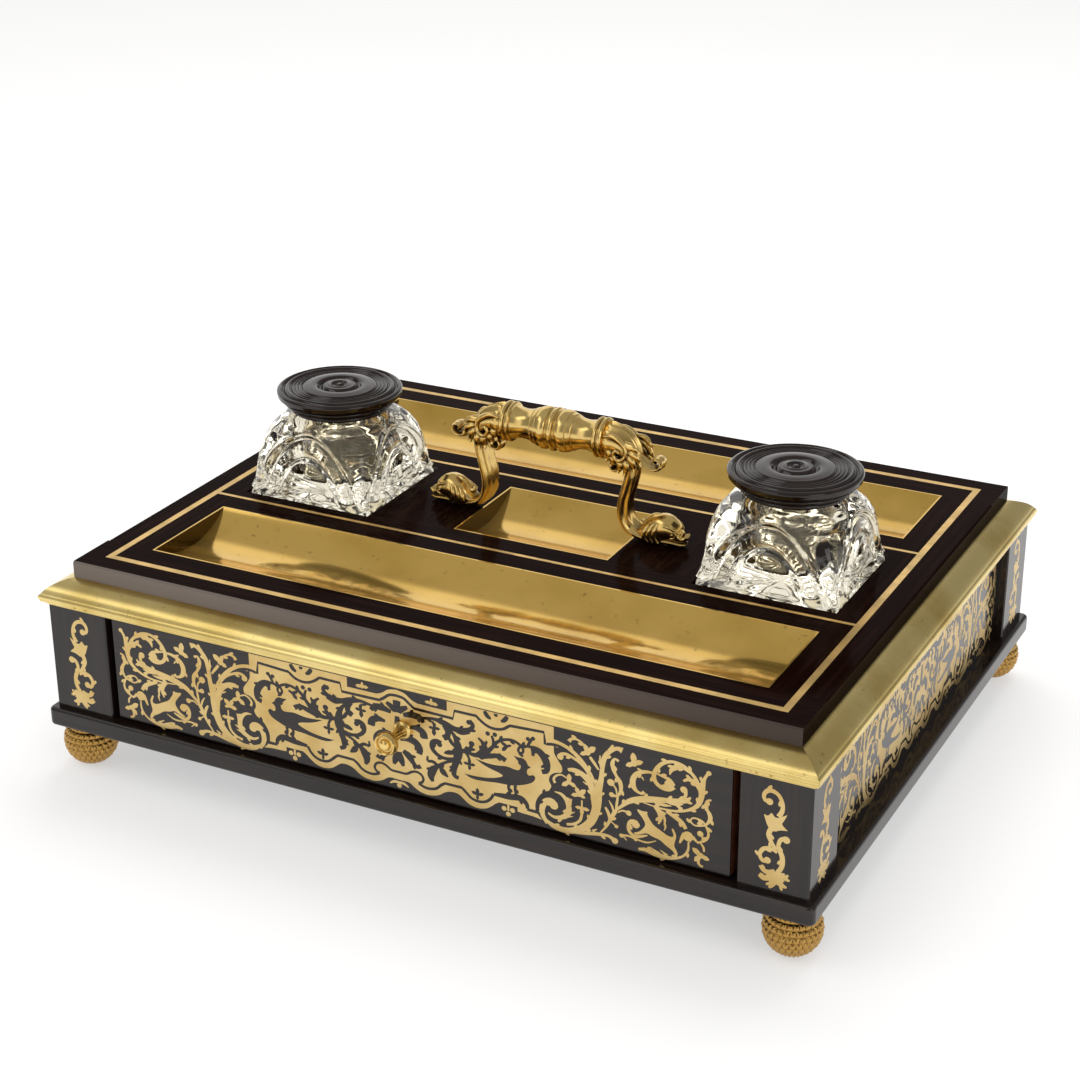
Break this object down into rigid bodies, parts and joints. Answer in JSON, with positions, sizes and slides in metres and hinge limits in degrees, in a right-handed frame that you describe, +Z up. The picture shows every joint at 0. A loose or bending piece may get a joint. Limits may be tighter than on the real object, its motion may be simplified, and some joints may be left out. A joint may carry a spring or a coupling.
{
  "type": "desk compendium",
  "caption": "Boulle-style ebony and brass desk stand with lidded cut-glass inkwells, pen troughs, a carrying handle and a drawer, on ball feet.",
  "frame": {"origin": "on the floor under the feet, at the middle of the overall box", "axes": "+X along the length to the right of someone facing the drawer, +Y from the drawer to the back, +Z up"},
  "size_m": [0.375, 0.3104, 0.1589],
  "materials": {
    "ebony": "polished ebony veneer",
    "turned_ebony": "turned and waxed ebony",
    "marquetry": "ebony veneer inlaid with cut brass sheet",
    "brass": "polished and lacquered",
    "glass": "clear cut lead glass",
    "carcase_wood": "plain mahogany",
    "steel": "plain steel"
  },
  "bodies": {
    "case": {"back_marquetry": "marquetry", "back_panel": "carcase_wood", "border_stringing": "brass", "cap_rail_back": "ebony", "cap_rail_front": "ebony", "cap_rail_left": "ebony", "cap_rail_right": "ebony", "central_well": "brass", "centre_block_left": "ebony", "centre_block_right": "ebony", "cross_line_back": "brass", "cross_line_front": "brass", "cross_rail_back": "ebony", "cross_rail_front": "ebony", "drawer_guide_left": "carcase_wood", "drawer_guide_right": "carcase_wood", "drawer_stops": "carcase_wood", "foot_back_left": "brass", "foot_back_right": "brass", "foot_front_left": "brass", "foot_front_right": "brass", "foot_studs": "steel", "handle_grip": "brass", "handle_leg_left": "brass", "handle_leg_right": "brass", "handle_nuts": "steel", "handle_studs": "brass", "inkwell_bed_left": "ebony", "inkwell_bed_right": "ebony", "moulding_back": "brass", "moulding_front": "brass", "moulding_left": "brass", "moulding_pins": "brass", "moulding_right": "brass", "pen_tray_back": "brass", "pen_tray_front": "brass", "plinth": "ebony", "post_back_left": "ebony", "post_back_right": "ebony", "post_front_left": "ebony", "post_front_right": "ebony", "side_marquetry_left": "marquetry", "side_marquetry_right": "marquetry", "side_panel_left": "carcase_wood", "side_panel_right": "carcase_wood", "top_board": "carcase_wood"},
    "drawer": {"drawer_back": "carcase_wood", "drawer_bottom": "carcase_wood", "drawer_front": "carcase_wood", "drawer_knob": "brass", "drawer_marquetry": "marquetry", "drawer_side_left": "carcase_wood", "drawer_side_right": "carcase_wood", "knob_screw": "steel"},
    "left_inkwell": {"inkwell_left": "glass"},
    "right_inkwell": {"inkwell_right": "glass"},
    "left_lid": {"lid_left": "turned_ebony"},
    "right_lid": {"lid_right": "turned_ebony"}
  },
  "joints": [
    {"name": "drawer_slide", "type": "slide", "parent": "case", "child": "drawer", "axis": [0, -1, 0], "range_m": [0, 0.2]},
    {"name": "left_inkwell_lift", "type": "slide", "parent": "case", "child": "left_inkwell", "axis": [0, 0, 1], "range_m": [0, 0.08]},
    {"name": "left_lid_lift", "type": "slide", "parent": "left_inkwell", "child": "left_lid", "axis": [0, 0, 1], "range_m": [0, 0.05]},
    {"name": "right_inkwell_lift", "type": "slide", "parent": "case", "child": "right_inkwell", "axis": [0, 0, 1], "range_m": [0, 0.08]},
    {"name": "right_lid_lift", "type": "slide", "parent": "right_inkwell", "child": "right_lid", "axis": [0, 0, 1], "range_m": [0, 0.05]}
  ]
}
